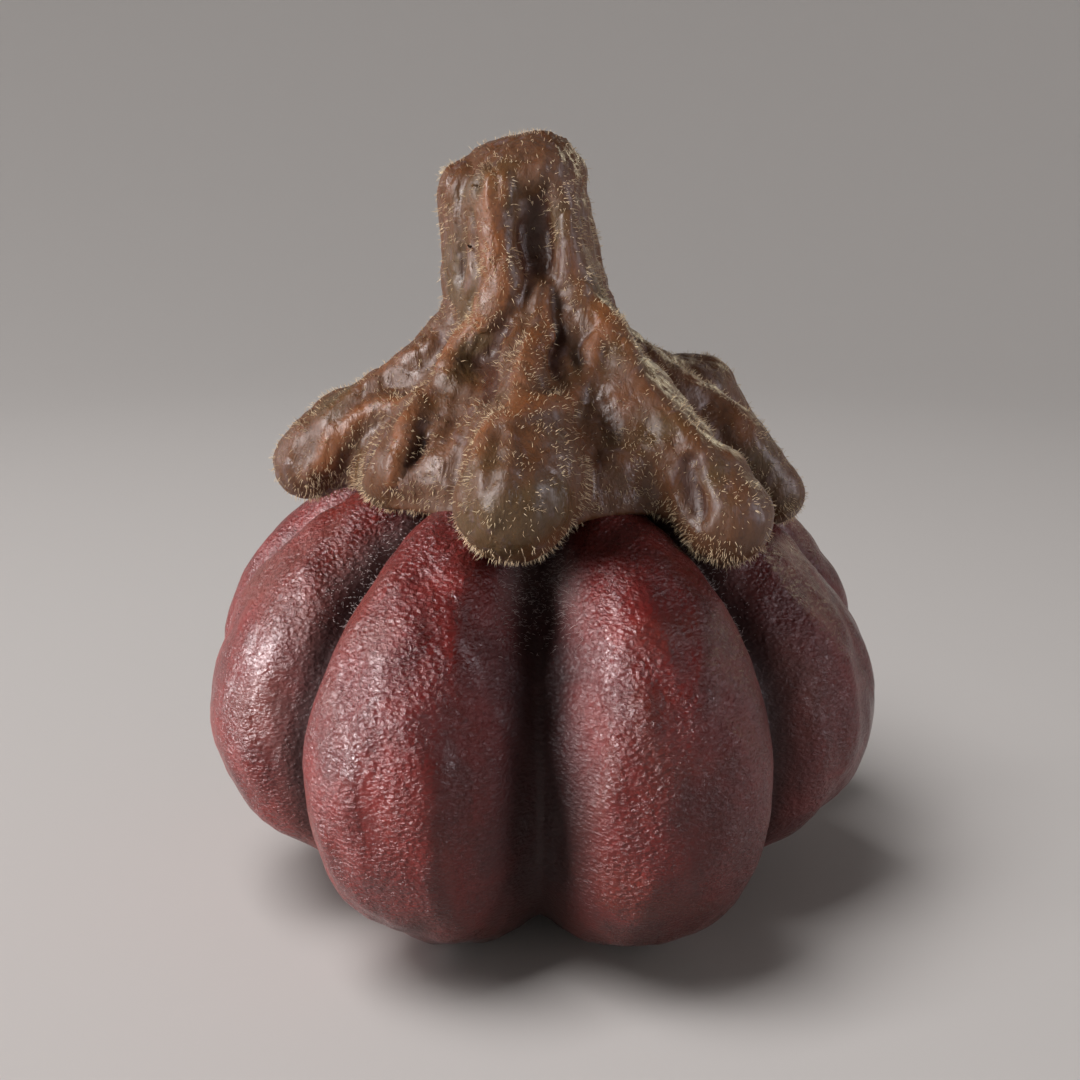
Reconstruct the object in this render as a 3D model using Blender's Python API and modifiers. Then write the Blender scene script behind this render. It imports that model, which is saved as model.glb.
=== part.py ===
"""A small ribbed pumpkin as picked: a lobed fruit, and the fleshy stem whose arms spread over its shoulders.

Blender script, in metres, +Z up. The pumpkin stands on Z = 0, with the origin under the middle of its
bounding box. Azimuths are in degrees: 0 is the front (-Y), and 90 is the right (+X).
"""

import bmesh
import bpy
import numpy as np

# Fruit
FRUIT_RADIUS = 0.0750        # axis to the fullest point of a plain lobe
FRUIT_HEIGHT = 0.0955        # floor to the top of the shoulders
EQUATOR_HEIGHT = 0.0415      # floor to the widest level
TOP_FULLNESS = 1.97          # exponent of the meridian above it: 2 is an ellipse, more is fuller
BOTTOM_FULLNESS = 2.20       # the same below it
GROOVE_DEPTH = 0.0125        # how far a groove cuts in at the widest level
GROOVE_DROP = 0.0110         # how far it lies under the shoulders
GROOVE_RISE = 0.0020         # how far it stays off the floor
GROOVE_EXPONENT = 3.0        # section of a lobe: more is a narrower groove
GROOVE_SOFTNESS = 0.10       # rounding of the groove's floor, as a share of half a lobe
FRONT_EXPONENT = 2.0         # the same two for the front groove, which is a broad, soft valley
FRONT_SOFTNESS = 0.30
FRONT_WIDTH = 16.0           # how far, in degrees, that valley's section reaches
TOP_DIMPLE = 0.0120          # depth of the hollow that the stem grows from
TOP_DIMPLE_RADIUS = 0.0220
BLOSSOM_DIMPLE = 0.0120      # depth of the hollow at the blossom end
BLOSSOM_DIMPLE_RADIUS = 0.0240
BOTTOM_DEPTH = 0.0482        # widest level to the underside, were it not for that hollow and the floor
# Each lobe, clockwise from the front groove: width in degrees, swell of its crest, lift of its underside
LOBES = (
    (44, 0.0030, 0.0000),
    (48, -0.0028, 0.0100),
    (34, 0.0012, 0.0060),
    (38, 0.0000, 0.0000),
    (32, -0.0005, 0.0020),
    (38, 0.0000, 0.0000),
    (34, 0.0012, 0.0060),
    (48, -0.0028, 0.0100),
    (44, 0.0030, 0.0000),
)

# Stem, with heights measured from the level of the fruit's shoulders
STEM_HEIGHT = 0.0625         # shoulders to the cut end
RIM_ROUND = 0.0090           # rounding of the cut end's rim
TOP_TILT = 0.18              # how much the cut end falls towards -X
NECK_RADIUS = 0.0125         # without its ribs
LEAN = -0.0062               # sideways shift of the neck's top, towards -X
CONE_RADIUS = 0.0165         # the cone that the neck widens into: its top
CONE_HEIGHT = 0.0220
WEB_REACH = 0.0445           # and its hem, a web that joins the arms to each other
WEB_HEIGHT = -0.0010
WEB_ROUND = 0.0060           # rounding of the hem
WEB_DROP = 0.0090            # how far under the shoulders the web reaches where it bridges a groove
BLEND = 0.0045               # how softly the arms melt into the cone and each other
HEM_ROUND = 0.0015           # rounding of the edge that lies on the fruit
CLEARANCE = 0.0006           # stem to fruit
# Each arm as stations down the neck and out over the fruit: azimuth, axis to its middle line, height over the
# fruit's skin right under it, and radius
ARMS = (
    ((-70, 0.0095, 0.0615, 0.0055), (-75, 0.0120, 0.0365, 0.0060), (-84, 0.0270, 0.0185, 0.0080),
     (-87, 0.0410, 0.0185, 0.0085), (-88, 0.0490, 0.0185, 0.0080)),
    ((-38, 0.0095, 0.0545, 0.0045), (-42, 0.0140, 0.0345, 0.0050), (-46, 0.0280, 0.0220, 0.0060),
     (-50, 0.0380, 0.0130, 0.0065)),
    ((-12, 0.0095, 0.0615, 0.0050), (-12, 0.0140, 0.0350, 0.0055), (-8, 0.0280, 0.0210, 0.0085),
     (-4, 0.0410, 0.0190, 0.0115), (-6, 0.0465, 0.0165, 0.0110)),
    ((40, 0.0095, 0.0650, 0.0055), (42, 0.0130, 0.0395, 0.0060), (44, 0.0260, 0.0275, 0.0070),
     (44, 0.0380, 0.0225, 0.0075), (46, 0.0495, 0.0175, 0.0090)),
    ((85, 0.0085, 0.0625, 0.0040), (83, 0.0120, 0.0315, 0.0050), (82, 0.0300, 0.0155, 0.0070),
     (82, 0.0420, 0.0120, 0.0070), (83, 0.0500, 0.0080, 0.0065)),
    ((125, 0.0085, 0.0630, 0.0045), (125, 0.0120, 0.0320, 0.0055), (122, 0.0280, 0.0190, 0.0080),
     (120, 0.0415, 0.0200, 0.0085), (119, 0.0480, 0.0120, 0.0085)),
    ((165, 0.0095, 0.0635, 0.0055), (162, 0.0130, 0.0355, 0.0060), (160, 0.0300, 0.0210, 0.0080),
     (160, 0.0430, 0.0170, 0.0080), (161, 0.0500, 0.0145, 0.0070)),
    ((205, 0.0095, 0.0620, 0.0055), (204, 0.0130, 0.0330, 0.0060), (202, 0.0300, 0.0190, 0.0085),
     (200, 0.0430, 0.0180, 0.0085), (199, 0.0510, 0.0155, 0.0075)),
    ((246, 0.0095, 0.0610, 0.0050), (244, 0.0130, 0.0305, 0.0055), (241, 0.0300, 0.0155, 0.0070),
     (241, 0.0440, 0.0100, 0.0075)),
)

# Meshes
FRUIT_AROUND, FRUIT_UP = 90, 32
SEED_GRAIN = 0.0018          # size of a face of the stem's draft
STEM_GRAIN = 0.0038          # and of the stem
SEED_SPACING = 0.5           # spacing of the balls that the stem is first built from, in radii
FIT_ROUNDS = 6               # corrections that bring its faces onto the wanted surface
EVENING_ROUNDS = 4           # and rounds of spacing its corners evenly


def lobe_position(azimuth):
    """The lobe that each azimuth lies on, and where across it: -1 and 1 in its grooves, 0 on its crest."""
    starts = np.cumsum([0, *(width for width, _, _ in LOBES)])
    turn = azimuth % 360
    lobe = np.searchsorted(starts, turn, side="right") - 1
    return lobe, 2 * (turn - starts[lobe]) / np.diff(starts)[lobe] - 1


def fruit_plan(azimuth):
    """Radius at the widest level, how deep in a groove the azimuth is (0 to 1), and the underside's lift."""
    lobe, across = lobe_position(azimuth)
    lobes = np.array(LOBES)
    crest = 1 - across**2
    to_groove = 1 - np.abs(across)
    front = np.exp(-(((azimuth + 180) % 360 - 180) / FRONT_WIDTH) ** 2)
    softness = GROOVE_SOFTNESS + (FRONT_SOFTNESS - GROOVE_SOFTNESS) * front
    exponent = GROOVE_EXPONENT + (FRONT_EXPONENT - GROOVE_EXPONENT) * front
    softened = np.hypot(to_groove, softness) - softness * (1 - to_groove)
    groove = (1 - np.clip(softened, 0, 1)) ** exponent
    radius = FRUIT_RADIUS + lobes[lobe, 1] * crest - GROOVE_DEPTH * groove
    return radius, groove, lobes[lobe, 2] * crest


def fruit_top(radius, azimuth):
    """Height of the fruit's upper half, at this radius and azimuth."""
    reach, groove, _ = fruit_plan(azimuth)
    level = np.clip(1 - (radius / reach) ** TOP_FULLNESS, 0, 1) ** (1 / TOP_FULLNESS)
    hollow = np.exp(-((radius / TOP_DIMPLE_RADIUS) ** 2))
    crest = EQUATOR_HEIGHT + (FRUIT_HEIGHT - EQUATOR_HEIGHT) * level
    return crest - TOP_DIMPLE * hollow - GROOVE_DROP * groove * level * (1 - hollow)


def fruit_bottom(radius, azimuth):
    """Height of the fruit's lower half, at this radius and azimuth."""
    reach, groove, lift = fruit_plan(azimuth)
    level = np.clip(1 - (radius / reach) ** BOTTOM_FULLNESS, 0, 1) ** (1 / BOTTOM_FULLNESS)
    hollow = np.exp(-((radius / BLOSSOM_DIMPLE_RADIUS) ** 2))
    crest = EQUATOR_HEIGHT - BOTTOM_DEPTH * level
    rise = (GROOVE_RISE * groove + lift) * level * (1 - hollow)
    return np.maximum(crest + BLOSSOM_DIMPLE * hollow + rise, 0)


def at(azimuth, radius, height):
    """Cylindrical coordinates as an array of points."""
    turn = np.radians(azimuth)
    return np.stack([radius * np.sin(turn), -radius * np.cos(turn), height + 0 * turn], axis=-1)


def fruit_surface(latitude, azimuth):
    """Points of the fruit's skin, for a latitude from -90 to 90."""
    reach, _, _ = fruit_plan(azimuth)
    fullness = np.where(latitude > 0, TOP_FULLNESS, BOTTOM_FULLNESS)
    radius = reach * np.cos(np.radians(latitude)) ** (2 / fullness)
    height = np.where(latitude > 0, fruit_top(radius, azimuth), fruit_bottom(radius, azimuth))
    return at(azimuth, radius, height)


def to_limb(points, stations):
    """Distance from points to a limb: a chain of tapered rods between stations (x, y, z, radius)."""
    nearest = np.full(len(points), np.inf)
    for start, end in zip(stations[:-1], stations[1:]):
        run = end[:3] - start[:3]
        share = np.clip((points - start[:3]) @ run / (run @ run), 0, 1)
        radius = start[3] + (end[3] - start[3]) * share
        gap = points - start[:3] - share[:, None] * run
        nearest = np.minimum(nearest, np.sqrt((gap**2).sum(axis=1)) - radius)
    return nearest


def melt(first, second, softness):
    """Union of two bodies given as distances, with a rounded inner corner."""
    overlap = np.clip(softness - np.abs(first - second), 0, None)
    return np.minimum(first, second) - overlap**2 / (4 * softness)


def carve(first, second, softness):
    """What two bodies given as distances have in common, with a rounded edge."""
    return -melt(-first, -second, softness)


def above_fruit(points):
    """Distance from points to the fruit's upper half, negative inside it."""
    step = 0.0002

    def height(x, y):
        return fruit_top(np.hypot(x, y), np.degrees(np.arctan2(x, -y)))

    x, y, z = points.T
    top = height(x, y)
    slope_x = (height(x + step, y) - top) / step
    slope_y = (height(x, y + step) - top) / step
    return (z - top) / np.sqrt(1 + np.minimum(slope_x**2 + slope_y**2, 9))


def leaning(points):
    """Points shifted sideways, more and more up the neck."""
    up = (points[:, 2] - FRUIT_HEIGHT - CONE_HEIGHT) / (STEM_HEIGHT - CONE_HEIGHT)
    up = np.clip(up, 0, 1)
    return points + np.outer(LEAN * up * (2 - up), (1, 0, 0))


def stem_limbs():
    """The neck and the arms, each as stations (x, y, z, radius)."""
    top = FRUIT_HEIGHT + STEM_HEIGHT + 2 * NECK_RADIUS
    neck = np.array([(0, 0, top, NECK_RADIUS), (0, 0, FRUIT_HEIGHT, NECK_RADIUS)])
    limbs = [np.column_stack([leaning(neck[:, :3]), neck[:, 3]])]
    for stations in ARMS:
        azimuth, radius, over_skin, thickness = np.array(stations, float).T
        height = fruit_top(radius, azimuth) + over_skin
        limbs.append(np.column_stack([leaning(at(azimuth, radius, height)), thickness]))
    return limbs


def to_cone(points):
    """Distance from points to the cone between the neck and the hem of the web."""
    run = WEB_REACH - CONE_RADIUS
    drop = CONE_HEIGHT - WEB_HEIGHT
    radius = np.hypot(points[:, 0], points[:, 1])
    height = points[:, 2] - FRUIT_HEIGHT
    slope = ((radius - CONE_RADIUS) * drop + (height - CONE_HEIGHT) * run) / np.hypot(run, drop)
    side = carve(slope, radius - WEB_REACH, WEB_ROUND)
    return carve(carve(side, height - CONE_HEIGHT, WEB_ROUND), -WEB_DROP - height, HEM_ROUND)


def to_stem(points):
    """Distance from points to the surface of the stem."""
    whole = to_cone(points)
    for limb in stem_limbs():
        whole = melt(whole, to_limb(points, limb), BLEND)
    over_cut = points[:, 2] - FRUIT_HEIGHT - STEM_HEIGHT - TOP_TILT * np.minimum(points[:, 0], 0)
    whole = carve(whole, over_cut / np.hypot(1, TOP_TILT), RIM_ROUND)
    return carve(whole, CLEARANCE - above_fruit(points), HEM_ROUND)


def fitted(points, distance):
    """Points moved onto the surface where a distance is zero."""
    step = 0.00015
    for _ in range(FIT_ROUNDS):
        here = distance(points)
        slope = np.stack([(distance(points + step * axis) - here) / step for axis in np.eye(3)], axis=-1)
        points = points - slope * (here / np.maximum((slope**2).sum(axis=1), 0.25))[:, None]
    return points


def corners(mesh):
    values = np.empty(len(mesh.vertices) * 3, np.float32)
    mesh.vertices.foreach_get("co", values)
    return values.reshape(-1, 3).astype(float)


def set_corners(mesh, points):
    mesh.vertices.foreach_set("co", points.astype(np.float32).ravel())
    mesh.update()


def make_fruit():
    """A UV sphere moved onto the fruit's skin."""
    mesh = bpy.data.meshes.new("fruit")
    shape = bmesh.new()
    bmesh.ops.create_uvsphere(shape, u_segments=FRUIT_AROUND, v_segments=FRUIT_UP, radius=1)
    shape.to_mesh(mesh)
    shape.free()
    x, y, z = corners(mesh).T
    latitude = np.degrees(np.arcsin(np.clip(z, -1, 1)))
    set_corners(mesh, fruit_surface(latitude, np.degrees(np.arctan2(x, -y))))
    mesh.shade_smooth()
    return bpy.data.objects.new("fruit", mesh)


def remeshed(mesh, grain):
    """One closed skin around everything in a mesh."""
    draft = bpy.data.objects.new("draft", mesh)
    bpy.context.scene.collection.objects.link(draft)
    remesh = draft.modifiers.new("one skin", "REMESH")
    remesh.mode = "VOXEL"
    remesh.voxel_size = grain
    skin = bpy.data.meshes.new_from_object(draft.evaluated_get(bpy.context.evaluated_depsgraph_get()))
    bpy.data.objects.remove(draft)
    return skin


def evened(mesh):
    """Spaces a mesh's corners evenly."""
    shape = bmesh.new()
    shape.from_mesh(mesh)
    axes = {"use_axis_x": True, "use_axis_y": True, "use_axis_z": True}
    bmesh.ops.smooth_vert(shape, verts=shape.verts, factor=0.5, **axes)
    shape.to_mesh(mesh)
    shape.free()


def make_stem():
    """Balls along every limb and a cone, made into one skin that is fitted to the stem's surface."""
    mesh = bpy.data.meshes.new("stem_seed")
    shape = bmesh.new()
    for limb in stem_limbs():
        for start, end in zip(limb[:-1], limb[1:]):
            gap = SEED_SPACING * min(start[3], end[3])
            count = int(np.ceil(np.linalg.norm(end[:3] - start[:3]) / gap)) + 1
            for share in np.linspace(0, 1, count):
                ball = start + (end - start) * share
                made = bmesh.ops.create_icosphere(shape, subdivisions=2, radius=ball[3])
                bmesh.ops.translate(shape, verts=made["verts"], vec=ball[:3])
    depth = CONE_HEIGHT - WEB_HEIGHT
    for narrow, wide, middle in (
        (CONE_RADIUS, WEB_REACH, WEB_HEIGHT + depth / 2),
        (WEB_REACH, WEB_REACH, WEB_HEIGHT - depth / 2),
    ):
        cone = bmesh.ops.create_cone(shape, cap_ends=True, segments=64, radius1=wide, radius2=narrow,
                                     depth=depth * 1.01)
        bmesh.ops.translate(shape, verts=cone["verts"], vec=(0, 0, FRUIT_HEIGHT + middle))
    shape.to_mesh(mesh)
    shape.free()
    for grain in (SEED_GRAIN, STEM_GRAIN):
        mesh = remeshed(mesh, grain)
        set_corners(mesh, fitted(corners(mesh), to_stem))
    for _ in range(EVENING_ROUNDS):
        evened(mesh)
        set_corners(mesh, fitted(corners(mesh), to_stem))
    mesh.name = "stem"
    mesh.shade_smooth()
    return bpy.data.objects.new("stem", mesh)


def material(name, color, roughness):
    made = bpy.data.materials.new(name)
    made.use_nodes = True
    shader = made.node_tree.nodes["Principled BSDF"]
    shader.inputs["Base Color"].default_value = (*color, 1)
    shader.inputs["Roughness"].default_value = roughness
    shader.inputs["Metallic"].default_value = 0
    return made


def main():
    for old in list(bpy.data.objects):
        bpy.data.objects.remove(old)
    collection = bpy.data.collections.new("pumpkin")
    bpy.context.scene.collection.children.link(collection)
    fruit = make_fruit()
    fruit.data.materials.append(material("fruit_skin", (0.11, 0.020, 0.017), 0.42))
    stem = make_stem()
    stem.data.materials.clear()
    stem.data.materials.append(material("stem_skin", (0.13, 0.075, 0.050), 0.50))
    for piece in (fruit, stem):
        collection.objects.link(piece)


main()
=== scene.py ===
"""The look of the pumpkin: a lobed fruit with a leathery dark red skin, and the fuzzy, melted-looking stem
that sits on its shoulders. Lengths are in millimetres of the design, and MM brings them to the frame's size.
Lights and the floor are in metres. Azimuths are in degrees: 0 is the front (-Y), and 90 is the right (+X).
"""

import bmesh
import bpy
import numpy as np
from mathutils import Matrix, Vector


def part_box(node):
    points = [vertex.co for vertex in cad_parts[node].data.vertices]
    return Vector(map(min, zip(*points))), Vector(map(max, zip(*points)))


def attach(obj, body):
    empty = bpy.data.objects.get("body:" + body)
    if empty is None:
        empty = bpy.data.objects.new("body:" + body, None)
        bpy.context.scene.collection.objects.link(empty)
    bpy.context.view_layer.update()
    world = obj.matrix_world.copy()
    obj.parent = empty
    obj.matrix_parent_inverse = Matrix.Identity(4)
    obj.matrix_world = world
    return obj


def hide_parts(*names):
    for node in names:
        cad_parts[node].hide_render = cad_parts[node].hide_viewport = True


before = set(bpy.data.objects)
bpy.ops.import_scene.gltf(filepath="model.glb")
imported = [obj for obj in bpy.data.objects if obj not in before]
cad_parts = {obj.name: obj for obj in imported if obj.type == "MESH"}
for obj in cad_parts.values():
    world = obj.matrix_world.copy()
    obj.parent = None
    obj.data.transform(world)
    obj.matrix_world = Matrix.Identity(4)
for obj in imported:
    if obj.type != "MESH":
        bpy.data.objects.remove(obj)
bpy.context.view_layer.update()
FRUIT_LOW, FRUIT_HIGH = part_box("fruit")
STEM_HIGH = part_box("stem")[1]
DESIGN_WIDTH = 146.90  # the fruit's, from side to side
MM = (FRUIT_HIGH.x - FRUIT_LOW.x) / DESIGN_WIDTH
FLOOR = FRUIT_LOW.z

# Fruit
FRUIT_RADIUS = 75.0
FRUIT_HEIGHT = 95.5
EQUATOR_HEIGHT = 41.5
TOP_FULLNESS = 1.97
BOTTOM_FULLNESS = 2.20
GROOVE_DEPTH = 12.5
GROOVE_DROP = 11.0
GROOVE_RISE = 2.0
GROOVE_EXPONENT = 3.0
GROOVE_SOFTNESS = 0.10
FRONT_EXPONENT = 2.0
FRONT_SOFTNESS = 0.30
FRONT_WIDTH = 16.0
TOP_DIMPLE, TOP_DIMPLE_RADIUS = 12.0, 22.0
BLOSSOM_DIMPLE, BLOSSOM_DIMPLE_RADIUS = 12.0, 24.0
BOTTOM_DEPTH = 48.2
# Lobes counterclockwise from the front: width in degrees, swell of the crest, lift of the underside
LOBES = (
    (44, 3.0, 0.0),
    (48, -2.8, 10.0),
    (34, 1.2, 6.0),
    (38, 0.0, 0.0),
    (32, -0.5, 2.0),
    (38, 0.0, 0.0),
    (34, 1.2, 6.0),
    (48, -2.8, 10.0),
    (44, 3.0, 0.0),
)

# Stem, with heights measured from the level of the fruit's shoulders
ROUNDED_OFF = 0.3  # what the rounded rim takes off the full height
STEM_HEIGHT = STEM_HIGH.z / MM - FRUIT_HEIGHT + ROUNDED_OFF
RIM_ROUND = 9.0
TOP_TILT = 0.18
NECK_RADIUS = 12.5
LEAN = -6.2
CONE_RADIUS, CONE_HEIGHT = 16.5, 22.0
WEB_REACH, WEB_HEIGHT, WEB_ROUND = 40.5, -1.0, 6.0
WEB_DROP = 9.0
BLEND = 4.5
HEM_ROUND = 1.5
CLEARANCE = 0.6
KNOB_BLEND, FOLD_BLEND, HOLLOW_BLEND = 2.6, 2.2, 3.0
KNOB_SINK = 0.78  # how far a knob's middle lies under the surface, as a share of its radius
# Arms, each as stations: azimuth, distance to the axis, height over the skin, radius
ARMS = (
    ((-70, 9.5, 61.5, 5.5), (-75, 12.0, 36.5, 6.0), (-84, 27.0, 18.5, 8.0), (-87, 41.0, 18.5, 8.5),
     (-88, 49.0, 18.5, 8.0)),
    ((-38, 9.5, 54.5, 4.5), (-42, 14.0, 34.5, 5.0), (-46, 28.0, 22.0, 6.0), (-50, 38.0, 13.0, 6.5)),
    ((-12, 9.5, 61.5, 5.0), (-12, 14.0, 35.0, 5.5), (-8, 28.0, 21.0, 8.5), (-4, 41.0, 19.0, 11.5),
     (-6, 46.5, 16.5, 11.0)),
    ((40, 9.5, 65.0, 5.5), (42, 13.0, 39.5, 6.0), (44, 26.0, 27.5, 7.0), (44, 38.0, 22.5, 7.5),
     (46, 49.5, 17.5, 9.0)),
    ((85, 8.5, 62.5, 4.0), (83, 12.0, 31.5, 5.0), (82, 30.0, 15.5, 7.0), (82, 42.0, 12.0, 7.0),
     (83, 50.0, 8.0, 6.5)),
    ((125, 8.5, 63.0, 4.5), (125, 12.0, 32.0, 5.5), (122, 28.0, 19.0, 8.0), (120, 41.5, 20.0, 8.5),
     (119, 48.0, 12.0, 8.5)),
    ((165, 9.5, 63.5, 5.5), (162, 13.0, 35.5, 6.0), (160, 30.0, 21.0, 8.0), (160, 43.0, 17.0, 8.0),
     (161, 50.0, 14.5, 7.0)),
    ((205, 9.5, 62.0, 5.5), (204, 13.0, 33.0, 6.0), (202, 30.0, 19.0, 8.5), (200, 43.0, 18.0, 8.5),
     (199, 51.0, 15.5, 7.5)),
    ((246, 9.5, 61.0, 5.0), (244, 13.0, 30.5, 5.5), (241, 30.0, 15.5, 7.0), (241, 44.0, 10.0, 7.5)),
)
# A line down the stem, from its top to its hem: distance to the axis, and height over the shoulders
GUIDE = (
    (11.0, 62.0), (14.5, 50.0), (15.0, 38.0), (16.0, 28.0), (20.0, 20.0),
    (28.0, 14.0), (38.0, 8.0), (48.0, 0.0),
    (54.0, -6.0), (58.0, -12.0),
)
# Folds that stand out of the stem: radius, how far the middle line is sunk as a share of it, then stations
# (azimuth, place along that line from 0 to 9)
FOLDS = (
    (4.0, 0.34, (-6, 0.7), (-12, 1.1), (-16, 1.5), (-16, 2.5), (-27, 3.1), (-43, 3.7), (-47, 4.2),
     (-43, 4.8)),
    (2.7, 0.12, (12, 2.6), (4, 3.0), (-8, 3.9), (-8, 4.5), (-7, 5.1), (-6, 5.7), (-6, 6.1)),
    (3.0, 0.30, (40, 3.6), (37, 4.0), (28, 4.4), (19, 4.7), (13, 5.1), (0, 5.8), (-5, 6.2), (-8, 6.6),
     (-9, 7.0)),
    (3.4, 0.55, (39, 0.9), (38, 1.7), (38, 2.3), (39, 3.1), (41, 3.9), (42, 4.4), (40, 5.2), (40, 5.9),
     (42, 6.5)),
    (1.7, 0.40, (-55, 0.9), (-51, 1.6), (-55, 2.2), (-60, 3.0)),
    (1.8, 0.36, (-37, 1.0), (-35, 1.6), (-37, 2.3), (-45, 2.8), (-54, 3.3)),
    (2.8, 0.50, (-76, 4.2), (-78, 4.7), (-81, 5.4), (-81, 6.0), (-82, 6.6)),
    (3.0, 0.30, (-56, 5.3), (-67, 5.7), (-71, 6.1), (-71, 6.6), (-69, 7.5), (-68, 8.2)),
    (2.8, 0.25, (-46, 5.5), (-43, 6.0), (-41, 6.3), (-38, 6.9), (-38, 7.5)),
    (2.1, 0.35, (-33, 5.8), (-32, 6.4), (-34, 7.1)),
    (2.0, 0.35, (-28, 5.7), (-30, 6.4), (-32, 7.1)),
    (1.5, 0.45, (-8, 6.7), (-8, 7.2), (-8, 7.7)),
    (1.5, 0.50, (-5, 6.6), (-6, 7.2), (-7, 7.6)),
    (2.4, 0.35, (20, 3.2), (18, 3.6), (12, 4.3), (14, 4.8)),
    (5.5, 0.70, (28, 4.9), (28, 5.5), (26, 6.1), (22, 6.6)),
    (2.0, 0.40, (52, 4.6), (55, 5.2), (54, 5.8)),
    (2.4, 0.80, (64, 1.2), (62, 2.6), (60, 3.8), (58, 4.8)),
    (2.6, 0.55, (-92, 1.0), (-88, 2.2), (-94, 3.4), (-100, 4.6), (-98, 5.8)),
    (2.6, 0.85, (92, 1.2), (86, 2.8), (80, 4.0), (78, 5.2), (80, 6.2)),
    (2.8, 0.80, (128, 0.8), (122, 2.6), (128, 4.0), (126, 5.4), (122, 6.2)),
    (2.6, 0.50, (108, 3.4), (106, 4.6), (110, 5.6)),
    (3.0, 0.45, (152, 1.0), (152, 2.4), (146, 3.4), (142, 4.4), (146, 5.2)),
    (3.2, 0.45, (174, 1.0), (170, 2.2), (164, 3.6), (168, 5.0), (165, 6.2)),
    (2.4, 0.40, (186, 2.6), (186, 3.8), (181, 5.0)),
    (3.2, 0.45, (202, 1.0), (206, 2.4), (202, 3.8), (207, 5.0), (203, 6.2)),
    (2.6, 0.40, (224, 1.6), (219, 3.0), (224, 4.2), (221, 5.4)),
    (3.0, 0.45, (246, 1.0), (241, 2.4), (246, 3.8), (239, 5.2), (242, 6.2)),
    (2.4, 0.45, (262, 2.6), (258, 4.0), (254, 5.2)),
)
# Knobs on the stem: azimuth, place along the line, radius
KNOBS = (
    (-54, 0.75, 3.2), (-72, 0.5, 3.4), (4, 0.5, 4.4), (30, 0.6, 4.8), (50, 0.8, 3.6), (-45, 4.5, 3.8),
    (76, 5.3, 4.6), (77, 6.4, 5.0), (86, 5.8, 4.0), (72, 6.7, 4.2), (112, 5.2, 4.8), (114, 6.1, 5.0),
    (122, 5.2, 4.4), (130, 6.2, 4.2), (-90, 6.4, 4.2), (-84, 7.0, 4.4), (-74, 6.7, 3.6), (40, 6.8, 4.6),
    (48, 7.0, 4.6), (30, 6.4, 3.4), (158, 6.2, 4.6), (176, 6.0, 3.8), (196, 6.4, 4.8), (212, 6.1, 4.2),
    (236, 6.2, 4.6), (254, 6.0, 4.0), (152, 0.6, 4.0), (206, 0.6, 4.2), (262, 0.6, 3.8), (100, 0.6, 3.4),
)
# A curl of flesh near the top: a ring around a small pit
CURL = (1.1, 0.0, (-22, 0.6), (-14, 0.8), (-14, 1.0), (-21, 1.15), (-28, 1.0), (-28, 0.8), (-22, 0.6))
# Hollows in the stem, as the folds: below 0 the middle line stands clear of the surface
HOLLOWS = (
    (5.4, -0.42, (24, 1.15), (21, 1.6), (15, 2.1)),
    (3.0, -0.35, (-4, 2.1), (-8, 2.7)),
    (4.2, -0.35, (-15, 3.5), (-17, 4.1), (-17, 4.7), (-13, 5.4)),
    (2.8, -0.35, (6, 3.9), (2, 4.6)),
    (1.3, 0.0, (-21, 0.8), (-21, 0.98)),
    (2.2, -0.25, (-27, 1.5), (-28, 2.2)),
    (1.8, -0.30, (-47, 1.6), (-48, 2.4)),
    (2.8, -0.30, (-53, 6.4), (-58, 7.2)),
    (1.8, -0.30, (-36, 6.2), (-35, 6.9)),
    (2.4, -0.35, (38, 6.8), (31, 7.3), (27, 8.0)),
    (2.4, -0.35, (50, 6.6), (58, 6.8)),
    (2.8, -0.40, (60, 5.0), (60, 6.0)),
    (3.6, -0.35, (140, 2.2), (136, 3.4)),
    (3.4, -0.35, (190, 1.8), (194, 3.2)),
    (3.4, -0.35, (232, 2.4), (231, 3.6)),
    (3.0, -0.35, (96, 3.6), (96, 4.6)),
)
# Hairs: how many, the seed that places them, length, radius at the root, droop, lean
STEM_HAIRS = (16000, 7, 1.1, 0.060, 0.15, 0.30)
GROOVE_DOWN = (6000, 11, 0.9, 0.05, 0.3, 0.35)
# Camera: the height that it and the lights aim at, its distance to that point, its elevation, its lens
AIM_HEIGHT, CAMERA_DISTANCE, CAMERA_ELEVATION, LENS = 72.5, 305.0, 15.0, 46.7


def at(azimuth, radius, height):
    """Cylindrical coordinates as an array of points."""
    turn = np.radians(azimuth)
    return np.stack([radius * np.sin(turn), -radius * np.cos(turn), height + 0 * turn], axis=-1)


def lobe_position(azimuth):
    """The lobe that each azimuth lies on, and where across it: -1 and 1 in its grooves, 0 on its crest."""
    starts = np.cumsum([0, *(width for width, _, _ in LOBES)])
    turn = azimuth % 360
    lobe = np.clip(np.searchsorted(starts, turn, side="right") - 1, 0, len(LOBES) - 1)
    return lobe, 2 * (turn - starts[lobe]) / np.diff(starts)[lobe] - 1


def fruit_plan(azimuth):
    """The radius at the widest level, how deep in a groove (0 to 1), and the lift of the underside."""
    lobe, across = lobe_position(azimuth)
    lobes = np.array(LOBES)
    crest = 1 - across**2
    to_groove = 1 - np.abs(across)
    front = np.exp(-(((azimuth + 180) % 360 - 180) / FRONT_WIDTH) ** 2)
    softness = GROOVE_SOFTNESS + (FRONT_SOFTNESS - GROOVE_SOFTNESS) * front
    exponent = GROOVE_EXPONENT + (FRONT_EXPONENT - GROOVE_EXPONENT) * front
    softened = np.hypot(to_groove, softness) - softness * (1 - to_groove)
    groove = (1 - np.clip(softened, 0, 1)) ** exponent
    radius = FRUIT_RADIUS + lobes[lobe, 1] * crest - GROOVE_DEPTH * groove
    return radius, groove, lobes[lobe, 2] * crest


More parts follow.
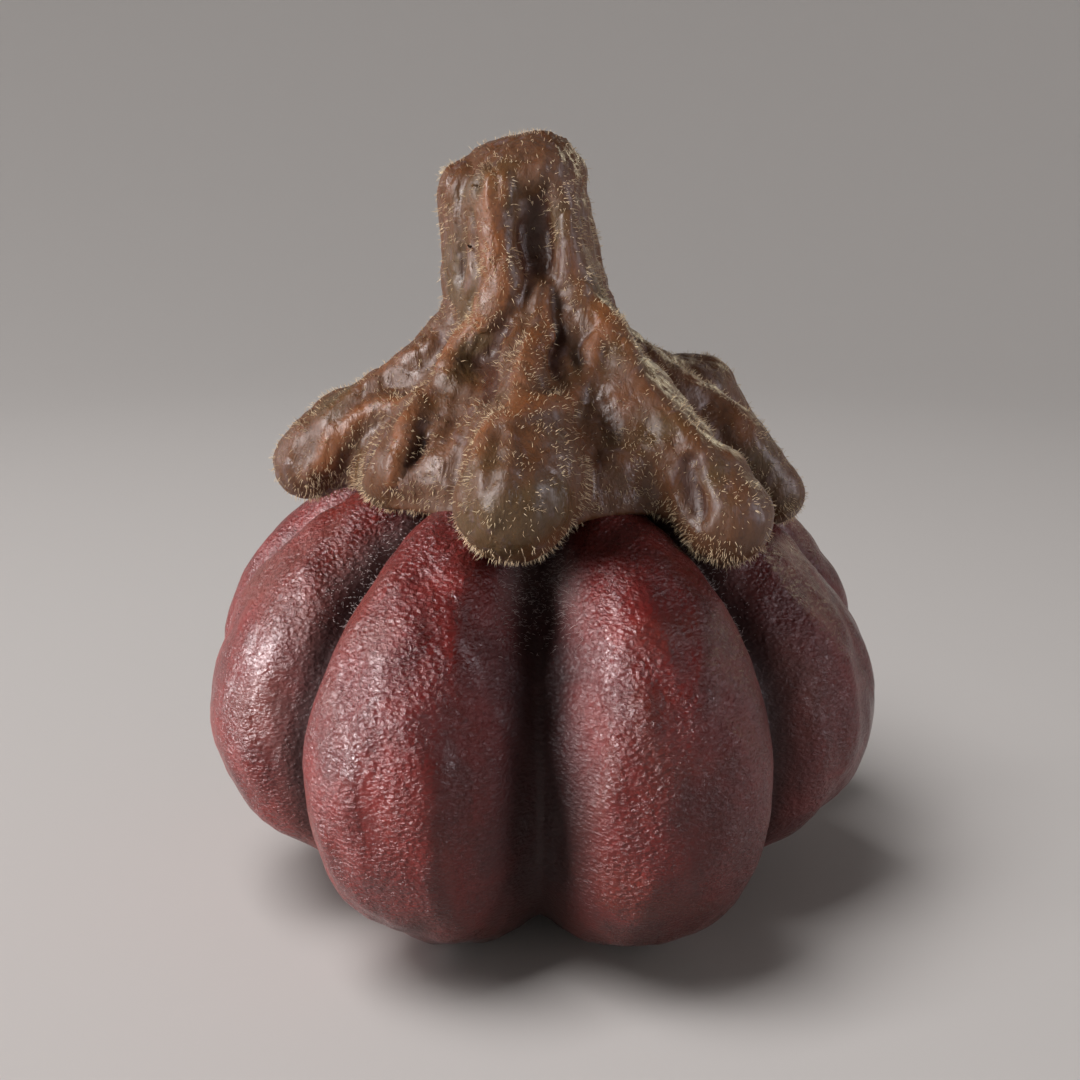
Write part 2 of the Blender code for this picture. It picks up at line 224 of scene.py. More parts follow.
def fruit_top(radius, azimuth):
    reach, groove, _ = fruit_plan(azimuth)
    level = np.clip(1 - (radius / reach) ** TOP_FULLNESS, 0, 1) ** (1 / TOP_FULLNESS)
    hollow = np.exp(-((radius / TOP_DIMPLE_RADIUS) ** 2))
    crest = EQUATOR_HEIGHT + (FRUIT_HEIGHT - EQUATOR_HEIGHT) * level
    return crest - TOP_DIMPLE * hollow - GROOVE_DROP * groove * level * (1 - hollow)


def fruit_bottom(radius, azimuth):
    reach, groove, lift = fruit_plan(azimuth)
    level = np.clip(1 - (radius / reach) ** BOTTOM_FULLNESS, 0, 1) ** (1 / BOTTOM_FULLNESS)
    hollow = np.exp(-((radius / BLOSSOM_DIMPLE_RADIUS) ** 2))
    crest = EQUATOR_HEIGHT - BOTTOM_DEPTH * level
    rise = (GROOVE_RISE * groove + lift) * level * (1 - hollow)
    return np.maximum(crest + BLOSSOM_DIMPLE * hollow + rise, 0)


def fruit_surface(latitude, azimuth):
    reach, _, _ = fruit_plan(azimuth)
    fullness = np.where(latitude > 0, TOP_FULLNESS, BOTTOM_FULLNESS)
    radius = reach * np.cos(np.radians(latitude)) ** (2 / fullness)
    height = np.where(latitude > 0, fruit_top(radius, azimuth), fruit_bottom(radius, azimuth))
    return at(azimuth, radius, height)


def noise(points, size, seed):
    """Smooth gradient noise of about -1 to 1, with lumps of the given size (a number or one per axis)."""
    place = points / np.asarray(size, float) + 17.3 * seed
    cell = np.floor(place).astype(np.int64)
    inside = place - cell
    eased = inside**3 * (inside * (inside * 6 - 15) + 10)
    total = np.zeros(len(points))
    for corner in np.ndindex(2, 2, 2):
        key = (cell + corner) @ np.array([73856093, 19349663, 83492791]) + seed * 2654435761
        key = (key ^ (key >> 13)) * 1274126177 & 0xFFFFFFFF
        key = (key ^ (key >> 16)) * 668265263 & 0xFFFFFFFF
        turn = (key & 0xFFFF) * (2 * np.pi / 65536)
        rise = ((key >> 16) & 0xFFFF) / 32768.0 - 1
        level = np.sqrt(1 - rise**2)
        off = inside - corner
        value = level * (np.cos(turn) * off[:, 0] + np.sin(turn) * off[:, 1]) + rise * off[:, 2]
        weight = np.prod(np.where(np.array(corner) == 1, eased, 1 - eased), axis=1)
        total += value * weight
    return total * 1.5


def smoothstep(low, high, value):
    share = np.clip((value - low) / (high - low), 0, 1)
    return share * share * (3 - 2 * share)


def to_limb(points, stations):
    """Distance from points to a chain of tapered rods between stations (x, y, z, radius)."""
    nearest = np.full(len(points), np.inf)
    for start, end in zip(stations[:-1], stations[1:]):
        run = end[:3] - start[:3]
        off = points - start[:3]
        share = np.clip(off @ run / (run @ run + 1e-9), 0, 1)
        gap = np.sqrt(((off - share[:, None] * run) ** 2).sum(axis=1))
        nearest = np.minimum(nearest, gap - start[3] - (end[3] - start[3]) * share)
    return nearest


def melt(first, second, softness):
    """Union of two bodies given as distances, with a rounded inner corner."""
    overlap = np.clip(softness - np.abs(first - second), 0, None)
    return np.minimum(first, second) - overlap**2 / (4 * softness)


def carve(first, second, softness):
    """What two bodies given as distances have in common, with a rounded edge."""
    return -melt(-first, -second, softness)


def above_fruit(points):
    """Distance from points to the fruit's upper half, negative inside it."""
    step = 0.2
    x, y, z = points.T

    def height(x, y):
        return fruit_top(np.hypot(x, y), np.degrees(np.arctan2(x, -y)))

    top = height(x, y)
    slope = ((height(x + step, y) - top) / step) ** 2 + ((height(x, y + step) - top) / step) ** 2
    return (z - top) / np.sqrt(1 + np.minimum(slope, 9))


def leaning(points):
    up = np.clip((points[:, 2] - FRUIT_HEIGHT - CONE_HEIGHT) / (STEM_HEIGHT - CONE_HEIGHT), 0, 1)
    return points + np.outer(LEAN * up * (2 - up), (1, 0, 0))


def stem_limbs():
    """The neck and the arms, each as stations (x, y, z, radius)."""
    top = FRUIT_HEIGHT + STEM_HEIGHT + 2 * NECK_RADIUS
    neck = np.array([(0, 0, top, NECK_RADIUS), (0, 0, FRUIT_HEIGHT, NECK_RADIUS)], float)
    limbs = [np.column_stack([leaning(neck[:, :3]), neck[:, 3]])]
    for stations in ARMS:
        azimuth, radius, over_skin, thickness = np.array(stations, float).T
        height = fruit_top(radius, azimuth) + over_skin
        limbs.append(np.column_stack([leaning(at(azimuth, radius, height)), thickness]))
    return limbs


def to_cone(points):
    """Distance from points to the cone between the neck and the hem of the web."""
    run, drop = WEB_REACH - CONE_RADIUS, CONE_HEIGHT - WEB_HEIGHT
    radius = np.hypot(points[:, 0], points[:, 1])
    height = points[:, 2] - FRUIT_HEIGHT
    slope = ((radius - CONE_RADIUS) * drop + (height - CONE_HEIGHT) * run) / np.hypot(run, drop)
    side = carve(slope, radius - WEB_REACH, WEB_ROUND)
    return carve(carve(side, height - CONE_HEIGHT, WEB_ROUND), -WEB_DROP - height, HEM_ROUND)


def to_plain_stem(points, limbs):
    """Distance from points to the stem without its folds."""
    whole = to_cone(points)
    for limb in limbs:
        here = near(points, limb, 2 * BLEND)
        whole[here] = melt(whole[here], to_limb(points[here], limb), BLEND)
    over_cut = points[:, 2] - FRUIT_HEIGHT - STEM_HEIGHT - TOP_TILT * np.minimum(points[:, 0], 0)
    return carve(whole, over_cut / np.hypot(1, TOP_TILT), RIM_ROUND)


def moved_to(points, distance, rounds):
    """Points moved onto the surface where a distance is zero."""
    step = 0.15
    for _ in range(rounds):
        here = distance(points)
        slope = np.stack([(distance(points + step * axis) - here) / step for axis in np.eye(3)], axis=-1)
        points = points - slope * (here / np.maximum((slope**2).sum(axis=1), 0.25))[:, None]
    return points


def guide_points(azimuth, place):
    """Points on the line down the stem, at places along it from 0 to 9."""
    guide = np.array(GUIDE, float)
    radius = np.interp(place, np.arange(len(guide)), guide[:, 0])
    height = np.interp(place, np.arange(len(guide)), guide[:, 1])
    return leaning(at(azimuth, radius, FRUIT_HEIGHT + height))


def smooth_path(stations, per_span=3):
    """Catmull-Rom curve through rows of numbers."""
    rows = np.vstack([stations[0], stations, stations[-1]])
    out = []
    for i in range(1, len(rows) - 2):
        a, b, c, d = rows[i - 1 : i + 3]
        square, cube = 2 * a - 5 * b + 4 * c - d, 3 * b - a - 3 * c + d
        for t in np.arange(per_span) / per_span:
            out.append(0.5 * (2 * b + (c - a) * t + square * t**2 + cube * t**3))
    out.append(rows[-2])
    return np.array(out)


def outward_of(points, limbs):
    """The directions in which the plain stem's surface faces."""
    step = 0.2
    here = to_plain_stem(points, limbs)
    slope = np.stack([to_plain_stem(points + step * axis, limbs) - here for axis in np.eye(3)], axis=-1)
    return slope / np.maximum(np.linalg.norm(slope, axis=1), 1e-6)[:, None]


def surface_limb(limbs, thickness, sunk, *stations):
    """A tapering rod on the plain stem's surface, sunk by a share of its radius; below 0, clear of it."""
    path = smooth_path(np.array(stations, float))
    points = moved_to(guide_points(path[:, 0], path[:, 1]), lambda p: to_plain_stem(p, limbs), 5)
    share = np.linspace(0, 1, len(points))
    swell = 1 + 0.10 * np.sin(9 * share + 40 * thickness)
    radius = thickness * (0.5 + 0.5 * np.sin(np.pi * share) ** 0.6) * swell
    return np.column_stack([points - outward_of(points, limbs) * (sunk * radius)[:, None], radius])


def near(points, limb, margin):
    """Which points lie in the box around a limb."""
    reach = limb[:, 3].max() + margin
    low, high = limb[:, :3].min(axis=0) - reach, limb[:, :3].max(axis=0) + reach
    return np.flatnonzero(((points > low) & (points < high)).all(axis=1))


class Stem:
    """The stem's surface as distances, with and without its folds."""

    def __init__(self):
        self.limbs = stem_limbs()
        self.folds = [surface_limb(self.limbs, *fold) for fold in (*FOLDS, CURL)]
        self.hollows = [surface_limb(self.limbs, *hollow) for hollow in HOLLOWS]
        knobs = np.array(KNOBS, float)
        places = moved_to(guide_points(knobs[:, 0], knobs[:, 1]), self.plain, 5)
        outward = outward_of(places, self.limbs)
        self.knobs = np.column_stack([places - outward * KNOB_SINK * knobs[:, 2:], knobs[:, 2]])

    def plain(self, points):
        return to_plain_stem(points, self.limbs)

    def folded(self, points, plain=None):
        whole = self.plain(points) if plain is None else plain.copy()
        for knob in self.knobs:
            here = near(points, knob[None], 4)
            gap = np.linalg.norm(points[here] - knob[:3], axis=1) - knob[3]
            whole[here] = melt(whole[here], gap, KNOB_BLEND)
        for hollow in self.hollows:
            here = near(points, hollow, 5)
            whole[here] = carve(whole[here], -to_limb(points[here], hollow), HOLLOW_BLEND)
        for fold in self.folds:
            here = near(points, fold, 4)
            whole[here] = melt(whole[here], to_limb(points[here], fold), FOLD_BLEND)
        return carve(whole, -above_fruit(points) - CLEARANCE, HEM_ROUND)


def corners(mesh):
    values = np.empty(len(mesh.vertices) * 3, np.float32)
    mesh.vertices.foreach_get("co", values)
    return values.reshape(-1, 3).astype(float)


def set_corners(mesh, points):
    mesh.vertices.foreach_set("co", np.ascontiguousarray(points, np.float32).ravel())
    mesh.update()


def normals(mesh):
    values = np.empty(len(mesh.vertices) * 3, np.float32)
    mesh.vertex_normals.foreach_get("vector", values)
    return values.reshape(-1, 3).astype(float)


def add_attribute(mesh, name, values):
    layer = mesh.attributes.new(name, "FLOAT", "POINT")
    layer.data.foreach_set("value", np.ascontiguousarray(values, np.float32))


def remeshed(mesh, grain):
    """One closed skin around everything in a mesh."""
    draft = bpy.data.objects.new("draft", mesh)
    bpy.context.scene.collection.objects.link(draft)
    remesh = draft.modifiers.new("one skin", "REMESH")
    remesh.mode = "VOXEL"
    remesh.voxel_size = grain
    skin = bpy.data.meshes.new_from_object(draft.evaluated_get(bpy.context.evaluated_depsgraph_get()))
    bpy.data.objects.remove(draft)
    return skin


def as_piece(mesh, name, replaced=None):
    """Brings a mesh in millimetres to the frame's size, and hangs it on the object's body."""
    set_corners(mesh, corners(mesh) * MM + np.array([0, 0, FLOOR]))
    mesh.shade_smooth()
    mesh.name = name
    piece = bpy.data.objects.new(name, mesh)
    bpy.context.scene.collection.objects.link(piece)
    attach(piece, "root")
    if replaced:
        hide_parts(replaced)
    return piece


def make_fruit():
    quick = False
    mesh = bpy.data.meshes.new("fruit_skin")
    shape = bmesh.new()
    around, up = (240, 100) if quick else (476, 204)
    bmesh.ops.create_uvsphere(shape, u_segments=around, v_segments=up, radius=1)
    shape.to_mesh(mesh)
    shape.free()
    x, y, z = corners(mesh).T
    latitude = np.degrees(np.arcsin(np.clip(z, -1, 1)))
    azimuth = np.degrees(np.arctan2(x, -y))
    points = fruit_surface(latitude, azimuth)
    set_corners(mesh, points)
    outward = normals(mesh)
    _, groove, _ = fruit_plan(azimuth)
    radius = np.hypot(points[:, 0], points[:, 1])
    off_pole = smoothstep(4, 22, radius)
    off_floor = smoothstep(0.0, 5.0, points[:, 2])
    # Broad swells, dents and soft lines that run down the lobes, and wrinkles
    bulge = 0.9 * noise(points, 34, 3)
    along = np.column_stack([azimuth * 1.25, 0.25 * points[:, 2], radius * 0.2])
    dents = 1.05 * noise(points, (11, 11, 21), 5) + 0.70 * noise(points, (6.5, 6.5, 12), 9)
    lines = 0.22 * noise(along, (7, 9, 30), 13)
    wrinkles = 0.11 * noise(points, (2.6, 2.6, 3.4), 21) + 0.05 * noise(points, 1.6, 25)
    calm = 1 - 0.55 * groove
    push = (bulge + (dents + lines) * calm) * off_pole * off_floor + wrinkles * off_pole
    creases = -0.5 * smoothstep(0.62, 1.0, groove) * off_pole * off_floor
    points = points + outward * (push + creases)[:, None]
    points[:, 2] = np.maximum(points[:, 2], 0)
    set_corners(mesh, points)
    add_attribute(mesh, "groove", groove)
    add_attribute(mesh, "downy", smoothstep(0.2, 0.7, groove) * smoothstep(68, 78, points[:, 2]))
    add_attribute(mesh, "foot", 1 - smoothstep(4, 26, points[:, 2] + 3 * noise(points, 9, 27)))
    return mesh


def make_stem_mesh(stem):
    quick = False
    mesh = bpy.data.meshes.new("stem_seed")
    shape = bmesh.new()
    for limb in stem.limbs:
        for start, end in zip(limb[:-1], limb[1:]):
            gap = 0.5 * min(start[3], end[3])
            count = int(np.ceil(np.linalg.norm(end[:3] - start[:3]) / gap)) + 1
            for share in np.linspace(0, 1, count):
                ball = start + (end - start) * share
                made = bmesh.ops.create_icosphere(shape, subdivisions=2, radius=ball[3])
                bmesh.ops.translate(shape, verts=made["verts"], vec=ball[:3])
    depth = CONE_HEIGHT - WEB_HEIGHT
    for narrow, wide, middle in (
        (CONE_RADIUS, WEB_REACH, WEB_HEIGHT + depth / 2),
        (WEB_REACH, WEB_REACH, WEB_HEIGHT - depth / 2),
    ):
        cone = bmesh.ops.create_cone(
            shape, cap_ends=True, segments=64, radius1=wide, radius2=narrow, depth=depth * 1.01
        )
        bmesh.ops.translate(shape, verts=cone["verts"], vec=(0, 0, FRUIT_HEIGHT + middle))
    shape.to_mesh(mesh)
    shape.free()
    mesh = remeshed(mesh, 1.8)
    set_corners(mesh, moved_to(corners(mesh), stem.folded, 5))
    mesh = remeshed(mesh, 1.0)
    set_corners(mesh, moved_to(corners(mesh), stem.folded, 2))
    mesh = remeshed(mesh, 1.1 if quick else 0.62)
    points = corners(mesh)
    for _ in range(3):
        points = points - normals(mesh) * stem.folded(points)[:, None]
        set_corners(mesh, points)
    return mesh


def finish_stem(mesh, stem):
    """Gives the stem its lumps and wrinkles, and records where it is raised and where it is hollow."""
    points = corners(mesh)
    outward = normals(mesh)
    raised = smoothstep(0.4, 2.3, stem.plain(points))
    hollow = 1 - smoothstep(0.15, 0.95, (stem.folded(points + 3.0 * outward) - stem.folded(points)) / 3.0)
    hollow = np.maximum(hollow, smoothstep(0.35, 1.6, -stem.plain(points)))
    neck = smoothstep(4, 24, points[:, 2] - FRUIT_HEIGHT)
    lumps = 0.40 * noise(points, (6.5, 6.5, 9.5), 31) + 0.24 * noise(points, (2.8, 2.8, 4.4), 35)
    azimuth = np.degrees(np.arctan2(points[:, 0], -points[:, 1]))
    flow = np.column_stack([azimuth * 0.42, points[:, 2] * 0.16, np.hypot(points[:, 0], points[:, 1]) * 0.12])
    veins = (1 - np.abs(noise(flow, (5.0, 2.2, 2.2), 37))) ** 6 * smoothstep(-0.3, 0.3, noise(points, 14, 43))
    pleats = (1 - np.abs(noise(points, (5.0, 5.0, 8.0), 45))) ** 8
    streaks = (0.55 * veins - 0.45 * pleats) * (0.5 + 0.5 * neck)
    fine = 0.07 * noise(points, 1.3, 39)
    under = smoothstep(-0.4, 1.2, above_fruit(points))
    points = points + outward * ((lumps + streaks) * (1 - 0.5 * hollow) * under + fine)[:, None]
    set_corners(mesh, points)
    add_attribute(mesh, "raised", raised)
    add_attribute(mesh, "hollow", hollow)


def hairs(mesh, wanted, count, seed, length, radius, droop, lean):
    """Short curved spikes on a mesh: three-sided, in two spans. wanted gives each corner's share of hairs."""
    random = np.random.default_rng(seed)
    mesh.calc_loop_triangles()
    triangles = np.empty(len(mesh.loop_triangles) * 3, np.int32)
    mesh.loop_triangles.foreach_get("vertices", triangles)
    triangles = triangles.reshape(-1, 3)
    points, outward = corners(mesh), normals(mesh)
    a, b, c = (points[triangles[:, i]] for i in range(3))
    area = np.linalg.norm(np.cross(b - a, c - a), axis=1) * wanted[triangles].mean(axis=1)
    chosen = random.choice(len(triangles), count, p=area / area.sum())
    u, v = random.random((2, count))
    flip = u + v > 1
    u, v = np.where(flip, 1 - u, u), np.where(flip, 1 - v, v)
    weights = np.stack([1 - u - v, u, v], axis=1)[:, :, None]
    root = (points[triangles[chosen]] * weights).sum(axis=1)
    way = (outward[triangles[chosen]] * weights).sum(axis=1)
    stray = random.normal(size=(count, 3)) * lean
    way = way + stray + np.array([0, 0, -droop])
    way /= np.linalg.norm(way, axis=1)[:, None]
    bend = random.normal(size=(count, 3)) * 0.35 + np.array([0, 0, -0.25])
    long = length * random.uniform(0.55, 1.25, count)[:, None]
    thick = radius * random.uniform(0.75, 1.25, count)
    side = np.cross(way, random.normal(size=(count, 3)))
    side /= np.linalg.norm(side, axis=1)[:, None]
    other = np.cross(way, side)
    rings = []
    for share, width in ((-0.12, 1.0), (0.55, 0.72)):
        middle = root + way * long * share + bend * long * max(share, 0) ** 2 * 0.5
        for turn in (0, 2 * np.pi / 3, 4 * np.pi / 3):
            rings.append(middle + (np.cos(turn) * side + np.sin(turn) * other) * (thick * width)[:, None])
    tip = root + way * long + bend * long * 0.5
    verts = np.stack([*rings, tip], axis=1).reshape(-1, 3)
    sides = [(0, 1, 4), (0, 4, 3), (1, 2, 5), (1, 5, 4), (2, 0, 3), (2, 3, 5)]
    faces = [*sides, (3, 4, 6), (4, 5, 6), (5, 3, 6)]
    index = (np.arange(count)[:, None, None] * 7 + np.array(faces)[None]).reshape(-1, 3)
    made = bpy.data.meshes.new("hairs")
    made.vertices.add(len(verts))
    made.loops.add(index.size)
    made.polygons.add(len(index))
    made.vertices.foreach_set("co", verts.astype(np.float32).ravel())
    made.loops.foreach_set("vertex_index", index.astype(np.int32).ravel())
    made.polygons.foreach_set("loop_start", np.arange(0, index.size, 3, dtype=np.int32))
    made.update(calc_edges=True)
    return made


class Nodes:
    """Short calls for building a material's nodes."""

    def __init__(self, name):
        self.material = bpy.data.materials.new(name)
        self.material.use_nodes = True
        self.tree = self.material.node_tree
        self.shader = self.tree.nodes["Principled BSDF"]
        self.place = self.add("ShaderNodeTexCoord").outputs["Object"]

    def add(self, kind, **settings):
        node = self.tree.nodes.new(kind)
        for key, value in settings.items():
            setattr(node, key, value)
        return node

    def link(self, output, socket):
        self.tree.links.new(output, socket)

    def set(self, **values):
        for key, value in values.items():
            self.shader.inputs[key.replace("_", " ")].default_value = value

    def stretched(self, scale):
        node = self.add("ShaderNodeMapping")
        node.inputs["Scale"].default_value = scale
        self.link(self.place, node.inputs["Vector"])
        return node.outputs["Vector"]

    def noise(self, size_mm, detail=3.0, rough=0.55, warp=0.0, vector=None):
        node = self.add("ShaderNodeTexNoise")
        node.inputs["Scale"].default_value = 1 / (size_mm * MM)
        node.inputs["Detail"].default_value = detail
        node.inputs["Roughness"].default_value = rough
        node.inputs["Distortion"].default_value = warp
        self.link(vector or self.place, node.inputs["Vector"])
        return node.outputs["Fac"]

    def cells(self, size_mm, smooth, vector=None):
        node = self.add("ShaderNodeTexVoronoi", feature="SMOOTH_F1")
        node.inputs["Scale"].default_value = 1 / (size_mm * MM)
        node.inputs["Smoothness"].default_value = smooth
        self.link(vector or self.place, node.inputs["Vector"])
        return node.outputs["Distance"]

    def attribute(self, name):
        return self.add("ShaderNodeAttribute", attribute_name=name).outputs["Fac"]

    def math(self, operation, first, second=None):
        node = self.add("ShaderNodeMath", operation=operation)
        for socket, value in zip(node.inputs, (first, second)):
            if value is None:
                continue
            if isinstance(value, (int, float)):
                socket.default_value = value
            else:
                self.link(value, socket)
        return node.outputs[0]

    def ramp(self, value, low, high, from_low=0.0, from_high=1.0):
        node = self.add("ShaderNodeMapRange", interpolation_type="SMOOTHSTEP")
        limits = {"From Min": from_low, "From Max": from_high, "To Min": low, "To Max": high}
        for key, number in limits.items():
            node.inputs[key].default_value = number
        self.link(value, node.inputs["Value"])
        return node.outputs["Result"]

    def mix(self, share, first, second):
        node = self.add("ShaderNodeMix", data_type="RGBA")
        for socket, value in ((node.inputs[0], share), (node.inputs[6], first), (node.inputs[7], second)):
            if isinstance(value, (int, float)):
                socket.default_value = value
            elif isinstance(value, tuple):
                socket.default_value = (*value, 1)
            else:
                self.link(value, socket)
        return node.outputs[2]

    def bump(self, height, strength, distance_mm, under=None):
        node = self.add("ShaderNodeBump")
        node.inputs["Strength"].default_value = strength
        node.inputs["Distance"].default_value = distance_mm * MM
        self.link(height, node.inputs["Height"])
        if under:
            self.link(under, node.inputs["Normal"])
        return node.outputs["Normal"]


def fruit_material():
    """A waxy maroon rind, finely wrinkled like leather, with painted shade darkening the grooves."""
    n = Nodes("fruit_rind")
    streaky = n.stretched((1.0, 1.0, 0.35))
    patches = n.noise(16, 4.0, 0.6, 0.6)
    streaks = n.noise(7, 4.0, 0.6, 0.4, streaky)
    specks = n.noise(1.4, 2.0, 0.5)
    groove = n.attribute("groove")
    color = n.mix(n.ramp(patches, 0, 1, 0.35, 0.68), (0.060, 0.0054, 0.0042), (0.102, 0.0078, 0.0058))
    color = n.mix(n.ramp(streaks, 0, 0.6, 0.42, 0.70), color, (0.052, 0.0076, 0.0068))
    color = n.mix(n.ramp(n.noise(28, 3.0, 0.5, 0.5), 0, 0.55, 0.50, 0.72), color, (0.078, 0.0150, 0.0082))
    color = n.mix(n.ramp(specks, 0, 0.30, 0.55, 0.75), color, (0.034, 0.0050, 0.0048))
    # Painted shade: the grooves are darkened to near black, standing in for the shade that falls in them.
    color = n.mix(n.ramp(groove, 0, 0.85, 0.35, 0.95), color, (0.010, 0.0022, 0.0020))
    color = n.mix(n.math("MULTIPLY", n.attribute("downy"), 0.7), color, (0.110, 0.062, 0.058))
    # Darker and browner towards the bottom: partly the skin's own brown, partly painted shade on the
    # underside.
    color = n.mix(n.math("MULTIPLY", n.attribute("foot"), 0.6), color, (0.045, 0.014, 0.009))
    n.link(color, n.shader.inputs["Base Color"])
    wrinkle_place = n.stretched((0.8, 0.8, 1.2))
    leather = n.cells(0.85, 0.45, wrinkle_place)
    fold = n.noise(1.15, 4.0, 0.62, 1.4, wrinkle_place)
    pores = n.noise(0.38, 2.0, 0.6)
    soft = n.noise(6.0, 2.0, 0.5)
    rough = n.math("ADD", n.ramp(patches, 0.25, 0.36, 0.3, 0.7), n.ramp(pores, -0.05, 0.07, 0.3, 0.7))
    rough = n.math("SUBTRACT", rough, n.ramp(soft, 0, 0.06, 0.45, 0.70))
    rough = n.math("ADD", rough, n.ramp(groove, 0, 0.50, 0.20, 0.75))
    rough = n.math("SUBTRACT", rough, n.math("MULTIPLY", n.attribute("foot"), 0.05))
    n.link(rough, n.shader.inputs["Roughness"])
    smooth_foot = n.math("MULTIPLY", n.attribute("foot"), 0.75)
    smooth = n.math("MAXIMUM", n.ramp(groove, 0, 0.50, 0.30, 0.90), smooth_foot)
    smooth = n.math("MAXIMUM", smooth, n.ramp(n.noise(14, 3.0, 0.5, 0.6, streaky), 0, 0.55, 0.50, 0.66))
    wrinkled = n.math("SUBTRACT", 1.0, smooth)
    normal = n.bump(soft, 0.35, 1.2)
    normal = n.bump(n.math("MULTIPLY", fold, wrinkled), 0.85, 0.58, normal)
    normal = n.bump(n.math("MULTIPLY", leather, wrinkled), 0.75, 0.36, normal)
    normal = n.bump(pores, 0.45, 0.12, normal)
    n.link(normal, n.shader.inputs["Normal"])
    n.set(Metallic=0.0, IOR=1.34, Subsurface_Weight=0.10, Subsurface_Scale=1.6 * MM, Coat_Weight=0.30)
    n.shader.inputs["Subsurface Radius"].default_value = (1.0, 0.18, 0.12)
    n.shader.inputs["Coat Roughness"].default_value = 0.22
    n.link(normal, n.shader.inputs["Coat Normal"])
    n.shader.inputs["Sheen Weight"].default_value = 0.02
    n.shader.inputs["Sheen Roughness"].default_value = 0.45
    n.shader.inputs["Sheen Tint"].default_value = (1.0, 0.78, 0.80, 1)
    return n.material


def stem_material():
    """Moist brown flesh: orange-brown where it is raised, partly its own colour and partly a painted glow
    through the thin folds, a painted lilac-grey sheen in blots, and painted shade dark in its hollows.
    """
    n = Nodes("stem_flesh")
    raised = n.attribute("raised")
    hollow = n.attribute("hollow")
    long = n.stretched((1.0, 1.0, 0.5))
    patches = n.noise(9, 4.0, 0.6, 0.8, long)
    painted_sheen_blots = n.noise(4.0, 4.0, 0.6, 1.2, long)
    grain = n.noise(0.9, 3.0, 0.6)
    color = n.mix(n.ramp(patches, 0, 1, 0.38, 0.64), (0.094, 0.038, 0.015), (0.098, 0.048, 0.026))
    color = n.mix(n.ramp(n.noise(22, 2.0), 0, 0.7, 0.50, 0.66), color, (0.070, 0.044, 0.016))
    # Painted sheen: lilac-grey blots stand in for moist highlights reflected on the flesh.
    color = n.mix(n.ramp(painted_sheen_blots, 0, 0.60, 0.54, 0.70), color, (0.122, 0.082, 0.078))
    # Raised folds: orange-brown, partly the flesh's own colour and partly a painted glow of light shining
    # through the thin folds.
    ridge_color_and_glow = n.math("MULTIPLY", n.ramp(raised, 0, 1, 0.15, 0.9), n.ramp(patches, 1.0, 0.35, 0.40, 0.72))
    color = n.mix(n.math("MULTIPLY", ridge_color_and_glow, 0.70), color, (0.200, 0.072, 0.024))
    color = n.mix(n.ramp(grain, 0, 0.45, 0.52, 0.72), color, (0.046, 0.027, 0.019))
    # Painted shade: the hollows are darkened where shade falls in them.
    color = n.mix(n.ramp(hollow, 0, 0.80, 0.15, 0.95), color, (0.044, 0.016, 0.010))
    n.link(color, n.shader.inputs["Base Color"])
    wet = n.noise(5.0, 3.0, 0.55, 0.8, long)
    rough = n.math("ADD", n.ramp(wet, 0.30, 0.56, 0.36, 0.64), n.ramp(grain, -0.05, 0.06, 0.3, 0.7))
    n.link(rough, n.shader.inputs["Roughness"])
    soft = n.noise(2.4, 4.0, 0.6, 0.9, long)
    pits = n.cells(0.9, 0.7)
    fine = n.noise(0.36, 2.0, 0.6)
    normal = n.bump(soft, 0.55, 0.9)
    normal = n.bump(pits, 0.22, 0.20, normal)
    normal = n.bump(fine, 0.30, 0.10, normal)
    n.link(normal, n.shader.inputs["Normal"])
    n.set(Metallic=0.0, IOR=1.38, Subsurface_Weight=0.25, Subsurface_Scale=2.2 * MM, Coat_Weight=0.12)
    n.shader.inputs["Subsurface Radius"].default_value = (1.0, 0.42, 0.2)
    n.shader.inputs["Coat Roughness"].default_value = 0.28
    return n.material


def hair_material(name, pale, dark):
    n = Nodes(name)
    color = n.mix(n.ramp(n.noise(3.0, 2.0), 0, 1, 0.35, 0.65), pale, dark)
    n.link(color, n.shader.inputs["Base Color"])
    n.link(n.ramp(n.noise(1.0, 2.0), 0.32, 0.5), n.shader.inputs["Roughness"])
    n.set(Metallic=0.0)
    n.shader.inputs["Sheen Weight"].default_value = 0.3
    return n.material


def paint(mesh, material):
    mesh.materials.clear()
    mesh.materials.append(material)


def build_pumpkin():
    fruit = make_fruit()
    paint(fruit, fruit_material())
    stem = Stem()
    flesh = make_stem_mesh(stem)
    finish_stem(flesh, stem)
    paint(flesh, stem_material())
    raised, hollow = (np.empty(len(flesh.vertices), np.float32) for _ in range(2))
    flesh.attributes["raised"].data.foreach_get("value", raised)
    flesh.attributes["hollow"].data.foreach_get("value", hollow)
    points = corners(flesh)
    over = above_fruit(points)
    outside = smoothstep(0.6, 2.0, over) * (0.45 + 0.7 * raised) * (1 - 0.4 * hollow)
    rim = smoothstep(0.6, 2.0, over) * (1 - smoothstep(4.0, 8.0, over))
    pale = hair_material("stem_hair", (0.72, 0.58, 0.36), (0.45, 0.31, 0.17))
    tufts = 0.25 + 1.1 * smoothstep(-0.1, 0.6, noise(points, 7, 41))
    coat = hairs(flesh, outside * tufts + 0.45 * rim, *STEM_HAIRS)
    paint(coat, pale)
    grey = hair_material("groove_hair", (0.34, 0.27, 0.25), (0.20, 0.15, 0.14))
    skin = corners(fruit)
    from_axis = np.hypot(skin[:, 0], skin[:, 1])
    _, groove, _ = fruit_plan(np.degrees(np.arctan2(skin[:, 0], -skin[:, 1])))
    fuzzy = smoothstep(0.25, 0.9, groove) * smoothstep(62, 78, skin[:, 2]) * smoothstep(30, 40, from_axis)
    down = hairs(fruit, fuzzy + 1e-6, *GROOVE_DOWN)
    paint(down, grey)
    as_piece(fruit, "fruit_skin", "fruit")
    as_piece(flesh, "stem_flesh", "stem")
    as_piece(coat, "stem_hairs", None)
    as_piece(down, "groove_down", None)


